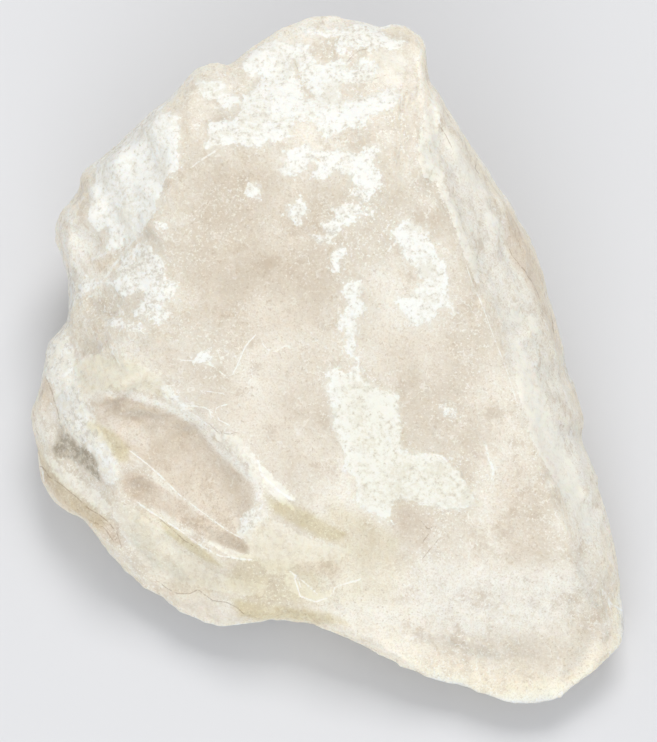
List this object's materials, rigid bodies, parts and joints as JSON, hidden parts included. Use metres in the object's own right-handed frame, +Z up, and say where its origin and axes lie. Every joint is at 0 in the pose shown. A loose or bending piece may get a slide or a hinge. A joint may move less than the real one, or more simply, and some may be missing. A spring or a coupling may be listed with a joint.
{
  "type": "mineral specimen",
  "caption": "Rough broken lump of milky quartz from a pegmatite, wedge shaped, with a broad nearly flat face, white crust and thin glassy edges; lies on its flattest side.",
  "frame": {"origin": "centre of the footprint, on the table that the stone lies on", "axes": "+X right and +Y away in the view of the broad face, +Z up; the stone's long way runs near +Y, its thick end away"},
  "size_m": [0.0428, 0.0482, 0.0205],
  "materials": {
    "milky_quartz": "broken, waxy to glassy, with dull white crust"
  },
  "bodies": {
    "root": {"stone": "milky_quartz"}
  },
  "joints": []
}
